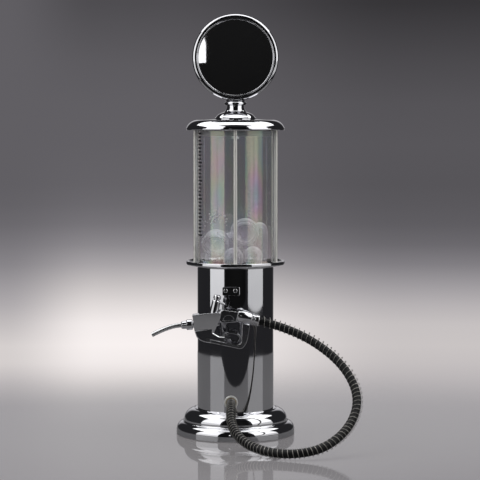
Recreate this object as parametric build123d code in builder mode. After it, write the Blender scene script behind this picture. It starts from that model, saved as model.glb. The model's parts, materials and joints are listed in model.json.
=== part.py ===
from build123d import *
import math
import os

# Tabletop drinks dispenser in the shape of an old petrol pump, in millimetres.
# The origin is the centre of the base where it rests, +Z is up and the gun side faces -Y.

# ---------------------------------------------------------------- driving dimensions
base_radius = 69.3
base_rim_z = 1.0
tier_step_radius = 60.5
base_land_radius = 47.0
column_radius = 44.6
column_wall = 1.2
column_bottom_z = 31.0
column_top_z = 196.6
sheet = 1.3

flange_radius = 57.7
collar_top_z = 203.6
collar_ledge_z = 202.0
seat_z = 198.4
tank_radius = 44.5
tank_wall = 3.0
tank_top_z = 355.5
rod_radius = 2.1
rod_circle = 47.0

lid_bottom_z = 356.0
lid_top_z = 368.8
lid_flat_radius = 25.0
sign_z = 440.0
sign_radius = 50.0
sign_half_depth = 7.5

port_x = -5.0
port_z = 43.0
port_y = -47.5
hose_radius = 4.7
guard_radius = 6.4

gun_y = -60.0
gun_half = 8.5
body_gap = 0.3

column_bore = column_radius - column_wall
tank_bore = tank_radius - tank_wall
gun_plane = Plane(origin=(0, gun_y, 0), x_dir=(1, 0, 0), z_dir=(0, -1, 0))
UP = (0, 0, 1)
FRONT = (0, -1, 0)


# ---------------------------------------------------------------- helpers
def save(piece, name):
    piece.part.label = name
    export_step(piece.part, f"parts/{name}.step")


def disc(bottom, top, radius, bore=0.0):
    """An upright round plate or tube."""
    with BuildPart() as piece:
        with BuildSketch(Plane.XY.offset(bottom)):
            Circle(radius)
            if bore:
                Circle(bore, mode=Mode.SUBTRACT)
        extrude(amount=top - bottom)
    return piece


def turned(points, origin=(0, 0, 0), axis=UP, side=FRONT):
    """Revolve an outline of (distance along the axis, radius) points."""
    with BuildPart() as piece:
        with BuildSketch(Plane(origin=origin, x_dir=axis, z_dir=side)):
            with BuildLine():
                Polyline(*points, close=True)
            make_face()
        revolve(axis=Axis(origin, axis))
    return piece


def along(origin, axis, distance):
    return tuple(start + distance * step for start, step in zip(origin, axis))


def hex_nut(bottom, top, across_flats, bore, places):
    with BuildPart() as piece:
        with BuildSketch(Plane.XY.offset(bottom)):
            with Locations(*places):
                RegularPolygon(across_flats / 2, 6, major_radius=False)
                Circle(bore, mode=Mode.SUBTRACT)
        extrude(amount=top - bottom)
    return piece


def tube_along(points, radii, outer, inner):
    """A tube along straight runs joined by tangent arcs."""
    with BuildPart() as piece:
        with BuildLine() as path:
            FilletPolyline(*points, radius=radii)
        with BuildSketch(Plane(origin=path.line @ 0, z_dir=path.line % 0)):
            Circle(outer)
            Circle(inner, mode=Mode.SUBTRACT)
        sweep(path=path.line)
    return piece


os.makedirs("parts", exist_ok=True)

# ---------------------------------------------------------------- base
pad_radius = 64.0
pad_top_z = 2.0
plate_top_z = 4.0
screw_circle = 38.5
screw_angles = (30, 150, 270)
ring_bore = 34.0
ring_top_z = 34.5
land_bore = column_bore - 1
land_under_z = column_bottom_z - sheet
tier_inner = tier_step_radius - sheet
rim_inner = base_radius - sheet

with BuildPart() as base_shell:
    with BuildSketch(Plane.XZ):
        with BuildLine():
            Line((base_radius, base_rim_z), (base_radius, 6))
            ThreePointArc((base_radius, 6), (66.9, 12.2), (62.2, 14.9))
            ThreePointArc((62.2, 14.9), (60.9, 15.6), (tier_step_radius, 17))
            Line((tier_step_radius, 17), (tier_step_radius, 18.6))
            ThreePointArc((tier_step_radius, 18.6), (56.6, 26.4), (48.6, 30.2))
            Polyline(
                (48.6, 30.2), (base_land_radius, column_bottom_z), (land_bore, column_bottom_z),
                (land_bore, land_under_z), (base_land_radius - 0.4, land_under_z),
            )
            ThreePointArc((base_land_radius - 0.4, land_under_z), (55.5, 25.4), (tier_inner, 18.2))
            Polyline((tier_inner, 18.2), (tier_inner, 15.8), (61.4, 13.8))
            ThreePointArc((61.4, 13.8), (65.8, 11.3), (rim_inner, 6))
            Polyline((rim_inner, 6), (rim_inner, base_rim_z), (base_radius, base_rim_z))
        make_face()
    revolve(axis=Axis.Z)
save(base_shell, "base_shell")

screw_places = [
    (screw_circle * math.cos(math.radians(a)), screw_circle * math.sin(math.radians(a)))
    for a in screw_angles
]
with BuildPart() as base_pad:
    with BuildSketch(Plane.XY):
        Circle(pad_radius)
        with Locations(*screw_places):
            Circle(5.5, mode=Mode.SUBTRACT)
    extrude(amount=pad_top_z)
    fillet(base_pad.edges().filter_by(GeomType.CIRCLE).sort_by(SortBy.RADIUS)[-2:], 0.4)
save(base_pad, "base_pad")

with BuildPart() as base_plate:
    with BuildSketch(Plane.XY.offset(pad_top_z)):
        Circle(base_radius - sheet - 0.3)
        with Locations(*screw_places):
            Circle(2.2, mode=Mode.SUBTRACT)
    extrude(amount=plate_top_z - pad_top_z)
save(base_plate, "base_plate")

with BuildPart() as column_foot_ring:
    with BuildSketch(Plane.XY.offset(column_bottom_z)):
        Circle(column_bore - 0.05)
        Circle(ring_bore, mode=Mode.SUBTRACT)
        with Locations(*screw_places):
            Circle(2.05, mode=Mode.SUBTRACT)
    extrude(amount=ring_top_z - column_bottom_z)
save(column_foot_ring, "column_foot_ring")

with BuildPart() as base_screws:
    with BuildSketch(Plane.XY.offset(0.3)):
        with Locations(*screw_places):
            Circle(4)
    extrude(amount=pad_top_z - 0.3)
    with BuildSketch(Plane.XY.offset(0.3)):
        with Locations(*screw_places):
            RegularPolygon(1.4, 6)
    extrude(amount=1.0, mode=Mode.SUBTRACT)
    with BuildSketch(Plane.XY.offset(pad_top_z)):
        with Locations(*screw_places):
            Circle(2)
    extrude(amount=ring_top_z - 1 - pad_top_z)
save(base_screws, "base_screws")

# ---------------------------------------------------------------- column
hook_screw_x = (-11.2, -0.1)
hook_screw_z = 172.3
hook_screw_radius = 1.5
port_hole_radius = 6.1

with BuildPart() as column_shell:
    with BuildSketch(Plane.XY.offset(column_bottom_z)):
        Circle(column_radius)
        Circle(column_bore, mode=Mode.SUBTRACT)
    extrude(amount=column_top_z - column_bottom_z)
    with BuildSketch(Plane.XZ):
        with Locations((port_x, port_z)):
            Circle(port_hole_radius)
        for x in hook_screw_x:
            with Locations((x, hook_screw_z)):
                Circle(hook_screw_radius + 0.05)
    extrude(amount=column_radius + 5, mode=Mode.SUBTRACT)
save(column_shell, "column_shell")

# ---------------------------------------------------------------- collar and tank
rod_angles = {"front": 270, "right": 0, "back": 90, "left": 180}
rod_bottom_z = 199.4
rod_top_z = 360.6

with BuildPart() as collar:
    with BuildSketch(Plane.XZ):
        with BuildLine():
            Polyline(
                (40, seat_z), (40, 190), (column_bore - 0.05, 190), (column_bore - 0.05, column_top_z),
                (45.4, column_top_z),
            )
            Spline(
                (45.4, column_top_z), (50.5, 197.6), (flange_radius - 0.9, 199.2),
                tangents=((1, 0.1), (1, 0.35)),
            )
            ThreePointArc((flange_radius - 0.9, 199.2), (flange_radius - 0.2, 199.8), (flange_radius, 200.7))
            Line((flange_radius, 200.7), (flange_radius, collar_top_z - 0.9))
            ThreePointArc(
                (flange_radius, collar_top_z - 0.9),
                (flange_radius - 0.9, collar_top_z),
                (flange_radius - 1.8, collar_top_z - 0.7),
            )
            Polyline(
                (flange_radius - 1.8, collar_top_z - 0.7), (54.6, collar_ledge_z),
                (tank_radius + 0.2, collar_ledge_z), (tank_radius + 0.2, seat_z), (40, seat_z),
            )
        make_face()
    revolve(axis=Axis.Z)
    with BuildSketch(Plane.XY.offset(collar_ledge_z)):
        with PolarLocations(rod_circle, 4):
            Circle(rod_radius + 0.05)
    extrude(amount=rod_bottom_z - collar_ledge_z, mode=Mode.SUBTRACT)
save(collar, "collar")

floor_top_z = seat_z + 2
seal_top_z = floor_top_z + 1
save(disc(seat_z, floor_top_z, tank_radius, 5.1), "tank_floor")
save(disc(floor_top_z, seal_top_z, tank_radius, tank_bore), "tank_seal")

with BuildPart() as tank_tube:
    with BuildSketch(Plane.XY.offset(seal_top_z)):
        Circle(tank_radius)
        Circle(tank_bore, mode=Mode.SUBTRACT)
    extrude(amount=tank_top_z - seal_top_z)
    chamfer(tank_tube.faces().sort_by(Axis.Z)[-1].edges(), 0.4)
save(tank_tube, "tank_tube")

for side_name, angle in rod_angles.items():
    x = rod_circle * math.cos(math.radians(angle))
    y = rod_circle * math.sin(math.radians(angle))
    rod_outline = (
        (rod_bottom_z, 0), (rod_bottom_z, rod_radius), (356.9, rod_radius), (357.2, 1.5),
        (rod_top_z - 0.4, 1.5), (rod_top_z, 1.1), (rod_top_z, 0),
    )
    save(turned(rod_outline, origin=(x, y, 0)), f"tie_rod_{side_name}")

top_ring_z = 357.2
with BuildPart() as top_ring:
    with BuildSketch(Plane.XY.offset(top_ring_z)):
        Circle(52)
        Circle(42.2, mode=Mode.SUBTRACT)
        with PolarLocations(rod_circle, 4):
            Circle(1.55, mode=Mode.SUBTRACT)
    extrude(amount=1.2)
save(top_ring, "top_ring")

rod_places = [
    (rod_circle * math.cos(math.radians(a)), rod_circle * math.sin(math.radians(a)))
    for a in rod_angles.values()
]
save(hex_nut(top_ring_z + 1.2, top_ring_z + 3.4, 5.5, 1.55, rod_places), "rod_nuts")

# gasket between the tube's rim and the top ring
save(disc(tank_top_z, top_ring_z, tank_radius - 0.2, 42.4), "tank_rim_gasket")

# ---------------------------------------------------------------- outlet inside the column
washer_z = seat_z - 1.4
nut_bottom_z = washer_z - 4
save(disc(washer_z, seat_z, 10, 5.1), "outlet_washer")
save(hex_nut(nut_bottom_z, washer_z, 16, 5.05, [(0, 0)]), "outlet_nut")
outlet_outline = (
    (floor_top_z + 1.4, 2.6), (floor_top_z + 1.4, 8.2), (floor_top_z + 0.9, 9), (floor_top_z, 9),
    (floor_top_z, 5), (nut_bottom_z - 1, 5), (nut_bottom_z - 1, 3.0), (186, 3.0), (184, 3.5),
    (183.5, 3.5), (183, 3.0), (179, 3.0), (176.5, 3.5), (176, 3.0), (176, 2.6),
)
save(turned(outlet_outline), "outlet_fitting")

drain_top_z = nut_bottom_z - 2
drain_points = (
    (0, 0, drain_top_z), (0, 0, 125), (port_x, 8, 98), (port_x, 8, port_z), (port_x, -28, port_z),
)
save(tube_along(drain_points, [30, 30, 18], 5.0, 3.55), "drain_tube")

with BuildPart() as hose_clamps:
    with BuildSketch(Plane.XY.offset(178)):
        Circle(6)
        Circle(5.02, mode=Mode.SUBTRACT)
    extrude(amount=5)
    with BuildSketch(Plane(origin=(port_x, -21, port_z), z_dir=FRONT)):
        Circle(6)
        Circle(5.02, mode=Mode.SUBTRACT)
    extrude(amount=5)
save(hose_clamps, "hose_clamps")

port_origin = (port_x, 0, port_z)
port_outline = (
    (18, 2.4), (18, 3.0), (20, 3.5), (20.5, 3.0), (25, 3.0), (26, 3.5), (26.5, 3.0), (34, 3.0),
    (34, 6.0), (-port_y, 6.0), (-port_y, 2.4),
)
save(turned(port_outline, port_origin, FRONT, UP), "port_fitting")

with BuildPart() as port_nut:
    with BuildSketch(Plane(origin=(port_x, -36.4, port_z), z_dir=FRONT)):
        RegularPolygon(8, 6, major_radius=False, rotation=30)
        Circle(6.05, mode=Mode.SUBTRACT)
    extrude(amount=4)
save(port_nut, "port_nut")

with BuildPart() as port_bush:
    with BuildSketch(Plane(origin=(port_x, -38, port_z), z_dir=FRONT)):
        Circle(7.75)
        Circle(6.05, mode=Mode.SUBTRACT)
    extrude(amount=-port_y - 38)
    fillet(port_bush.faces().sort_by(Axis.Y)[0].edges().sort_by(SortBy.RADIUS)[-1], 1.0)
    with BuildSketch(Plane.XY.offset(port_z - 12)):
        Circle(column_radius + 0.05)
    extrude(amount=24, mode=Mode.SUBTRACT)
save(port_bush, "port_bush")

# ---------------------------------------------------------------- hose
# the hose leaves the port, lies on the table in front and climbs back to the gun
gun_line_slope = math.radians(14.2)
gun_line = (math.cos(gun_line_slope), 0, -math.sin(gun_line_slope))
gun_line_normal = (math.sin(gun_line_slope), 0, math.cos(gun_line_slope))
coupling_start = (2.6, gun_y, 145.4)
hose_end = along(coupling_start, gun_line, 25.4)
hose_points = (
    (port_x, port_y, port_z), (port_x, -75, port_z), (-5, -107, 27), (7, -139, 14), (31, -167, 7.4),
    (64, -181, 6.6), (99, -173.5, 12.5), (127.5, -146, 32), (138, -119, 59), (125.5, -97, 88),
    (98, -78, 112), along(hose_end, gun_line, 34), hose_end,
)


def bend_radii(points):
    """The largest arc that the two runs at each corner leave room for."""
    radii = []
    for before, corner, after in zip(points, points[1:], points[2:]):
        arriving = Vector(*corner) - Vector(*before)
        leaving = Vector(*after) - Vector(*corner)
        half_turn = math.radians(arriving.get_angle(leaving)) / 2
        radii.append(0.45 * min(arriving.length, leaving.length) / math.tan(half_turn))
    return radii


hose_radii = bend_radii(hose_points)
save(tube_along(hose_points, hose_radii, hose_radius, 3.1), "hose")
save(tube_along(hose_points, hose_radii, guard_radius, guard_radius - 0.3), "hose_spring_guard")

# ---------------------------------------------------------------- hook on the column
plate_left, plate_right = -14.8, 5.0
plate_low_z, plate_high_z = 166.5, 176.6
plate_front_y = -46.2
finger_left, finger_right = -12.4, -7.8
upright_left = -10.6
finger_top_z = 157.6
finger_thickness = 1.8
finger_back_y, finger_front_y, finger_tip_y = -46.3, -48.0, -64.5

with BuildPart() as hook_plate:
    with BuildSketch(Plane.XY.offset(plate_low_z)):
        with Locations(((plate_left + plate_right) / 2, plate_front_y)):
            Rectangle(plate_right - plate_left, 10, align=(Align.CENTER, Align.MIN))
        Circle(column_radius + 0.02, mode=Mode.SUBTRACT)
    extrude(amount=plate_high_z - plate_low_z)
    fillet(hook_plate.edges().filter_by(Axis.Y), 1.5)
    chamfer(hook_plate.faces().sort_by(Axis.Y)[0].edges(), 0.45)
    with BuildSketch(Plane.XZ):
        for x in hook_screw_x:
            with Locations((x, hook_screw_z)):
                Circle(hook_screw_radius + 0.05)
    extrude(amount=column_radius + 5, mode=Mode.SUBTRACT)
save(hook_plate, "hook_plate")

with BuildPart() as hook_finger:
    with BuildSketch(Plane.YZ.offset(finger_left)):
        with BuildLine():
            Polyline(
                (finger_back_y, finger_top_z), (finger_back_y, finger_top_z - finger_thickness),
                (finger_tip_y, finger_top_z - finger_thickness), (finger_tip_y, finger_top_z), close=True,
            )
        make_face()
    extrude(amount=finger_right - finger_left)
    with BuildSketch(Plane.YZ.offset(upright_left)):
        with BuildLine():
            Polyline(
                (finger_back_y, plate_low_z), (finger_back_y, finger_top_z - finger_thickness),
                (finger_front_y, finger_top_z - finger_thickness), (finger_front_y, plate_low_z + 3),
                (finger_back_y - 0.05, plate_low_z + 3), (finger_back_y - 0.05, plate_low_z), close=True,
            )
        make_face()
    extrude(amount=finger_right - upright_left)
save(hook_finger, "hook_finger")

with BuildPart() as hook_screws:
    for x in hook_screw_x:
        with BuildSketch(Plane(origin=(x, plate_front_y, hook_screw_z), z_dir=FRONT)):
            Circle(2.45)
        extrude(amount=1.5)
        with BuildSketch(Plane(origin=(x, plate_front_y, hook_screw_z), z_dir=(0, 1, 0))):
            Circle(hook_screw_radius)
        extrude(amount=7)
    fillet(hook_screws.faces().filter_by(Axis.Y).group_by(Axis.Y)[0].edges(), 0.9)
save(hook_screws, "hook_screws")

# ---------------------------------------------------------------- gun
head_low_left = (-46.6, 128.2)
valve_z = 135.0
tower_base = (-25.0, gun_y, 146.0)
tower_lean = math.radians(12.5)
tower_axis = (math.sin(tower_lean), 0, math.cos(tower_lean))
pivot_x, pivot_z = -15.0, 119.0
pin_radius = 1.2
side_screw_x, side_screw_z = -31.2, 118.3
lug_x = -14.1
strip_slope = math.tan(math.radians(11.9))
strip_left = -28.0


def strip_z(x):
    """Height of the top face of the trigger guard's long lower run."""
    return 118.2 - (x + 30) * strip_slope


handle_top = along(coupling_start, gun_line_normal, 4.6)[::2]
handle_bottom = along(coupling_start, gun_line_normal, -7.4)[::2]
lug_foot_z = 147.5
head_top_z = 148.8
head_slope = 3.4
belly_half = gun_half - 2.4


def side_edges(piece):
    """The edges round the two broad faces of a plate that stands across the gun."""
    faces = piece.faces().sort_by(Axis.Y)
    return faces[0].edges() + faces[-1].edges()


# the head's broad faces slope in towards the belly
with BuildPart() as gun_head:
    with BuildSketch(gun_plane) as head_outline:
        with BuildLine():
            Polyline(
                (-49.2, 146.4), (-48.6, 143.6), head_low_left, (-30.3, 130.4), (-29.6, 124), (-24.7, 125.2),
                (-17.4, 142.6), (-16.4, head_top_z), (-30, head_top_z), close=True,
            )
        make_face()
        fillet(head_outline.vertices().sort_by(Axis.X)[:3], 1.0)
    extrude(amount=gun_half, both=True)
    with BuildSketch(Plane.YZ.offset(-52)):
        for side in (-1, 1):
            with BuildLine():
                Polyline(
                    (gun_y + side * gun_half, head_top_z + 0.2), (gun_y + side * gun_half, 123),
                    (gun_y + side * (gun_half - head_slope), 123), close=True,
                )
            make_face()
    extrude(amount=40, mode=Mode.SUBTRACT)
    fillet(side_edges(gun_head), 0.5)

with BuildPart() as gun_belly:
    with BuildSketch(gun_plane):
        with BuildLine():
            Polyline(
                head_low_left, (-44.2, 121.3), (-40.4, 117.4), (-34.4, 115.2), (strip_left, 114.4),
                (strip_left, strip_z(strip_left)), (-12.2, strip_z(-12.2)), (-12.2, 121.4),
                (-18.6, 121.8), (-25.5, 126), (-26, 131), close=True,
            )
        make_face()
    extrude(amount=belly_half, both=True)
    chamfer(side_edges(gun_belly), 0.8)

with BuildPart() as gun_handle:
    with BuildSketch(gun_plane) as handle_outline:
        with BuildLine():
            Polyline(
                (-18.6, 140), (-17, 150.6), (-13.6, 152.4), handle_top, handle_bottom, (-14.8, 137.2),
                close=True,
            )
        make_face()
        fillet(handle_outline.vertices().group_by(Axis.Y)[-1], 1.2)
    extrude(amount=gun_half - 1.2, both=True)
    fillet(side_edges(gun_handle), 0.8)

with BuildPart() as gun_body:
    add(gun_head.part)
    add(gun_belly.part)
    add(gun_handle.part)
    with BuildSketch(Plane(origin=(0, gun_y - gun_half + 1.2, 0), x_dir=(1, 0, 0), z_dir=FRONT)):
        with Locations((-7.7, 139.9)):
            Circle(6.3)
        with Locations((-7.7, 139.9 - 5)):
            Rectangle(20, 10, mode=Mode.SUBTRACT)
    extrude(amount=-2.2, mode=Mode.SUBTRACT)
    with BuildSketch(Plane(origin=(-50, gun_y, valve_z), x_dir=(0, 1, 0), z_dir=(1, 0, 0))):
        Circle(4.6)
    extrude(amount=12, mode=Mode.SUBTRACT)
    with BuildSketch(Plane(origin=(-50, gun_y, valve_z), x_dir=(0, 1, 0), z_dir=(1, 0, 0))):
        Circle(2.6)
    extrude(amount=20, mode=Mode.SUBTRACT)
    with BuildSketch(Plane(origin=(-50, gun_y, valve_z), x_dir=(0, 1, 0), z_dir=(1, 0, 0))):
        Circle(1.5)
    extrude(amount=36, mode=Mode.SUBTRACT)
    with BuildSketch(Plane(origin=coupling_start, z_dir=(-gun_line[0], 0, -gun_line[2]))):
        Circle(2.5)
    extrude(amount=6, mode=Mode.SUBTRACT)
    with BuildSketch(Plane(origin=coupling_start, z_dir=(-36, 0, valve_z - coupling_start[2]))):
        Circle(2.2)
    extrude(amount=37.5, mode=Mode.SUBTRACT)
    with BuildSketch(Plane.XY.offset(strip_z(-14) - 2)):
        with Locations((-15.8, gun_y)):
            Rectangle(13.4, 4.6)
    extrude(amount=137 - (strip_z(-14) - 2), mode=Mode.SUBTRACT)
    with BuildSketch(Plane.XY.offset(lug_foot_z)):
        with Locations((lug_x, gun_y)):
            Circle(1.25)
    extrude(amount=8, mode=Mode.SUBTRACT)
    with BuildSketch(gun_plane):
        with Locations((pivot_x, pivot_z)):
            Circle(pin_radius)
        with Locations((side_screw_x, side_screw_z)):
            Circle(1.55)
    extrude(amount=gun_half + 1, both=True, mode=Mode.SUBTRACT)
save(gun_body, "gun_body")

# spout, its two ferrules and the plug that holds them in the head
ferrule_axis = (-math.cos(math.radians(3.5)), 0, -math.sin(math.radians(3.5)))
collar_origin = (-48.8, gun_y, valve_z)
spout_collar_outline = (
    (-3.4, 2.0), (-3.4, 4.3), (0.0, 4.3), (0.0, 5.6), (0.7, 6.0), (6.2, 6.0), (7.0, 5.2), (7.0, 4.6),
    (11.8, 4.4), (13.0, 3.4), (13.0, 2.65), (7.6, 2.65), (7.6, 2.0),
)
save(turned(spout_collar_outline, collar_origin, ferrule_axis), "spout_collar")

with BuildPart() as gun_spout:
    with BuildLine() as spout_path:
        spout_root = along(collar_origin, ferrule_axis, 7.8)
        spout_exit = along(collar_origin, ferrule_axis, 13.2)
        spout_tip = (-95.2, gun_y, 123.0)
        Line(spout_root, spout_exit)
        Spline(spout_exit, (-79.8, gun_y, 130.0), spout_tip, tangents=(ferrule_axis, (-0.88, 0, -0.47)))
    with BuildSketch(Plane(origin=spout_path.line @ 0, z_dir=spout_path.line % 0)):
        Circle(2.6)
        Circle(1.9, mode=Mode.SUBTRACT)
    sweep()
save(gun_spout, "gun_spout")

# tower with its cap
tower_height = 17.0
tower_outline = (
    (-1.5, 0), (-1.5, 5.2), (tower_height - 1.0, 4.8), (tower_height, 4.0), (tower_height, 0),
)
with BuildPart() as gun_tower:
    add(turned(tower_outline, tower_base, tower_axis).part)
    with BuildSketch(Plane.XY.offset(head_top_z)):
        with Locations(tower_base[:2]):
            Rectangle(30, 2 * gun_half)
    extrude(amount=-20, mode=Mode.SUBTRACT)
save(gun_tower, "gun_tower")
cap_origin = along(tower_base, tower_axis, tower_height)
cap_outline = (
    (0, 0), (0, 3.2), (1.4, 3.2), (1.8, 4.3), (4.6, 4.3), (5.9, 3.4), (6.6, 1.8), (6.8, 0),
)
save(turned(cap_outline, cap_origin, tower_axis), "tower_cap")

# flat-headed lug that hangs on the hook finger
lug_outline = (
    (lug_foot_z, 0), (lug_foot_z, 1.2), (finger_top_z + body_gap, 1.2), (finger_top_z + body_gap, 2.8),
    (159.2, 2.9), (160.1, 2.1), (160.4, 0),
)
save(turned(lug_outline, (lug_x, gun_y, 0)), "hanging_lug")

# hose coupling with its hump, and the crimped ferrule
with BuildPart() as hose_coupling:
    with BuildSketch(Plane(origin=coupling_start, x_dir=gun_line, z_dir=FRONT)):
        with BuildLine():
            Line((0, 3.2), (0, 6.9))
            Spline((0, 6.9), (6, 8.0), (16.0, 6.3), tangents=((1, 0.35), (1, -0.2)))
            Polyline((16.0, 6.3), (16.0, 3.2), (0, 3.2))
        make_face()
    revolve(axis=Axis(coupling_start, gun_line))
save(hose_coupling, "hose_coupling")
ferrule_outline = (
    (16.0, 3.2), (16.0, 5.9), (16.8, 6.6), (18.4, 6.6), (18.8, 6.1), (20.2, 6.1), (20.6, 6.6),
    (24.6, 6.6), (25.4, 6.0), (25.4, 3.2),
)
save(turned(ferrule_outline, coupling_start, gun_line), "hose_ferrule")

# trigger guard: long lower run, round corner and a leg up to the coupling
guard_half = 5.0
strip_thickness = 3.3
with BuildPart() as trigger_guard:
    with BuildSketch(gun_plane):
        with BuildLine():
            Line((strip_left, strip_z(strip_left)), (1.0, strip_z(1.0)))
            ThreePointArc((1.0, strip_z(1.0)), (5.6, 113.4), (7.0, 119.0))
            Line((7.0, 119.0), (8.2, 136.6))
            Line((8.2, 136.6), (16.2, 134.6))
            Spline(
                (16.2, 134.6), (14.4, 121.0), (11.6, 112.6), (4.0, strip_z(4.0) - strip_thickness),
                tangents=((-0.05, -1), (-1, 0.2)),
            )
            Line((4.0, strip_z(4.0) - strip_thickness), (strip_left, strip_z(strip_left) - strip_thickness))
            Line((strip_left, strip_z(strip_left) - strip_thickness), (strip_left, strip_z(strip_left)))
        make_face()
    extrude(amount=guard_half, both=True)
    add(
        turned(((-2, 0), (-2, 8.15), (26, 8.15), (26, 0)), coupling_start, gun_line).part,
        mode=Mode.SUBTRACT,
    )
    with BuildSketch(gun_plane):
        with Locations((-16.0, strip_z(-16.0) - strip_thickness / 2)):
            Circle(1.05)
    extrude(amount=guard_half + 1, both=True, mode=Mode.SUBTRACT)
save(trigger_guard, "trigger_guard")


def cross_pin(x, z, radius, head, half_length):
    """A pin across the gun with a round head on each side."""
    with BuildPart() as pin:
        with BuildSketch(gun_plane):
            with Locations((x, z)):
                Circle(radius)
        extrude(amount=half_length, both=True)
        for direction in (1, -1):
            with BuildSketch(gun_plane.offset(direction * half_length)):
                with Locations((x, z)):
                    Circle(head)
            extrude(amount=direction * 1.1)
    return pin


save(cross_pin(-16.0, strip_z(-16.0) - strip_thickness / 2, 1.0, 1.5, guard_half), "guard_rivet")
save(cross_pin(side_screw_x, side_screw_z, 1.5, 2.0, belly_half), "side_screw")
save(cross_pin(pivot_x, pivot_z, pin_radius - 0.02, 1.5, belly_half), "trigger_pin")

# trigger: a thin arch hinged at its left end, with a horn that pushes the valve stem
trigger_half = 1.9
with BuildPart() as trigger:
    with BuildSketch(gun_plane):
        with BuildLine():
            ThreePointArc((pivot_x + 0.8, pivot_z + 2.2), (-5.6, 127.0), (6.2, 121.0))
            Line((6.2, 121.0), (5.2, 119.6))
            ThreePointArc((5.2, 119.6), (-5.8, 124.9), (pivot_x + 1.8, pivot_z + 0.8))
            Line((pivot_x + 1.8, pivot_z + 0.8), (pivot_x + 0.8, pivot_z + 2.2))
        make_face()
    extrude(amount=guard_half, both=True)
    with BuildSketch(gun_plane):
        with Locations((-16, 123)):
            Rectangle(12, 14)
    extrude(amount=guard_half + 1, both=True, mode=Mode.SUBTRACT)
    with BuildSketch(gun_plane):
        with BuildLine():
            ThreePointArc((pivot_x + 0.8, pivot_z + 2.2), (-12.0, 124.2), (-9.0, 126.0))
            Line((-9.0, 126.0), (-9.0, 124.0))
            ThreePointArc((-9.0, 124.0), (-11.2, 122.6), (pivot_x + 2.0, pivot_z + 0.6))
            Line((pivot_x + 2.0, pivot_z + 0.6), (pivot_x + 0.8, pivot_z + 2.2))
        make_face()
        with Locations((pivot_x, pivot_z)):
            Circle(2.3)
    extrude(amount=trigger_half, both=True)
    with BuildSketch(gun_plane):
        with BuildLine():
            Polyline(
                (pivot_x - 1.6, pivot_z), (pivot_x + 1.8, pivot_z), (-15.6, valve_z + 1.6),
                (-17.6, valve_z + 1.6), close=True,
            )
        make_face()
    extrude(amount=trigger_half, both=True)
    with BuildSketch(gun_plane):
        with Locations((pivot_x, pivot_z)):
            Circle(pin_radius + 0.03)
    extrude(amount=guard_half + 2, both=True, mode=Mode.SUBTRACT)
save(trigger, "trigger")

# valve: a stem pushed by the horn, a rubber disc on the seat and a spring behind it
stem_origin = (-17.9, gun_y, valve_z)
BACK = (-1, 0, 0)
stem_outline = (
    (0.0, 0), (0.0, 1.2), (0.4, 1.45), (22.0, 1.45), (22.0, 3.4), (22.6, 3.4), (22.6, 1.45),
    (24.5, 1.45), (24.5, 0),
)
save(turned(stem_outline, stem_origin, BACK), "valve_stem")
save(turned(((20.4, 1.47), (20.4, 4.0), (22.0, 4.0), (22.0, 1.47)), stem_origin, BACK), "valve_disc")
save(turned(((22.7, 2.6), (22.7, 3.4), (27.2, 3.4), (27.2, 2.6)), stem_origin, BACK), "valve_spring")

# ---------------------------------------------------------------- lid
plug_radius = tank_bore - 0.5
with BuildPart() as lid_shell:
    with BuildSketch(Plane.XZ):
        with BuildLine():
            Line((flange_radius - 1.4, lid_bottom_z), (flange_radius - 0.6, lid_bottom_z))
            ThreePointArc(
                (flange_radius - 0.6, lid_bottom_z),
                (flange_radius, lid_bottom_z + 0.8),
                (flange_radius, lid_bottom_z + 1.8),
            )
            ThreePointArc((flange_radius, lid_bottom_z + 1.8), (54.0, 363.6), (45.6, 367.7))
            Line((45.6, 367.7), (lid_flat_radius, lid_top_z))
            Line((lid_flat_radius, lid_top_z), (2.6, lid_top_z))
            Line((2.6, lid_top_z), (2.6, lid_top_z - sheet))
            Line((2.6, lid_top_z - sheet), (lid_flat_radius, lid_top_z - sheet))
            Line((lid_flat_radius, lid_top_z - sheet), (45.2, 366.4))
            ThreePointArc((45.2, 366.4), (53.0, 362.6), (flange_radius - 1.4, lid_bottom_z + 1.8))
            Line((flange_radius - 1.4, lid_bottom_z + 1.8), (flange_radius - 1.4, lid_bottom_z))
        make_face()
    revolve(axis=Axis.Z)
save(lid_shell, "lid_shell")

plug_bottom_z = 349.0
groove_z = 351.2
plug_outline = (
    (plug_bottom_z, 2.6), (plug_bottom_z, plug_radius - 0.8), (plug_bottom_z + 0.8, plug_radius),
    (groove_z, plug_radius), (groove_z, plug_radius - 1.6), (groove_z + 2, plug_radius - 1.6),
    (groove_z + 2, plug_radius), (356.2, plug_radius), (358.2, 36), (lid_top_z - sheet, 24),
    (lid_top_z - sheet, 2.6),
)
save(turned(plug_outline), "lid_plug")
save(disc(groove_z + 0.05, groove_z + 1.95, plug_radius + 0.2, plug_radius - 1.55), "lid_seal")

# ---------------------------------------------------------------- stem and sign
with BuildPart() as sign_stem:
    with BuildSketch(Plane.XZ):
        with BuildLine():
            Polyline((2.1, lid_top_z), (24.6, lid_top_z), (24.6, 369.6))
            Spline(
                (24.6, 369.6), (21.9, 372.2), (17.6, 375.4), (12.4, 377.8), (10.4, 381.6), (9.8, 384.6),
                tangents=((-1, 0.5), (0, 1)),
            )
            ThreePointArc((9.8, 384.6), (12.9, 386.7), (10.6, 388.8))
            Polyline(
                (10.6, 388.8), (10.8, 389.8), (12.2, 391.0), (12.2, 394.5), (2.1, 394.5), (2.1, lid_top_z),
            )
        make_face()
    revolve(axis=Axis.Z)
    with BuildSketch(Plane(origin=(0, 0, sign_z), z_dir=FRONT)):
        Circle(sign_radius + 0.2)
    extrude(amount=30, both=True, mode=Mode.SUBTRACT)
save(sign_stem, "sign_stem")

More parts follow.
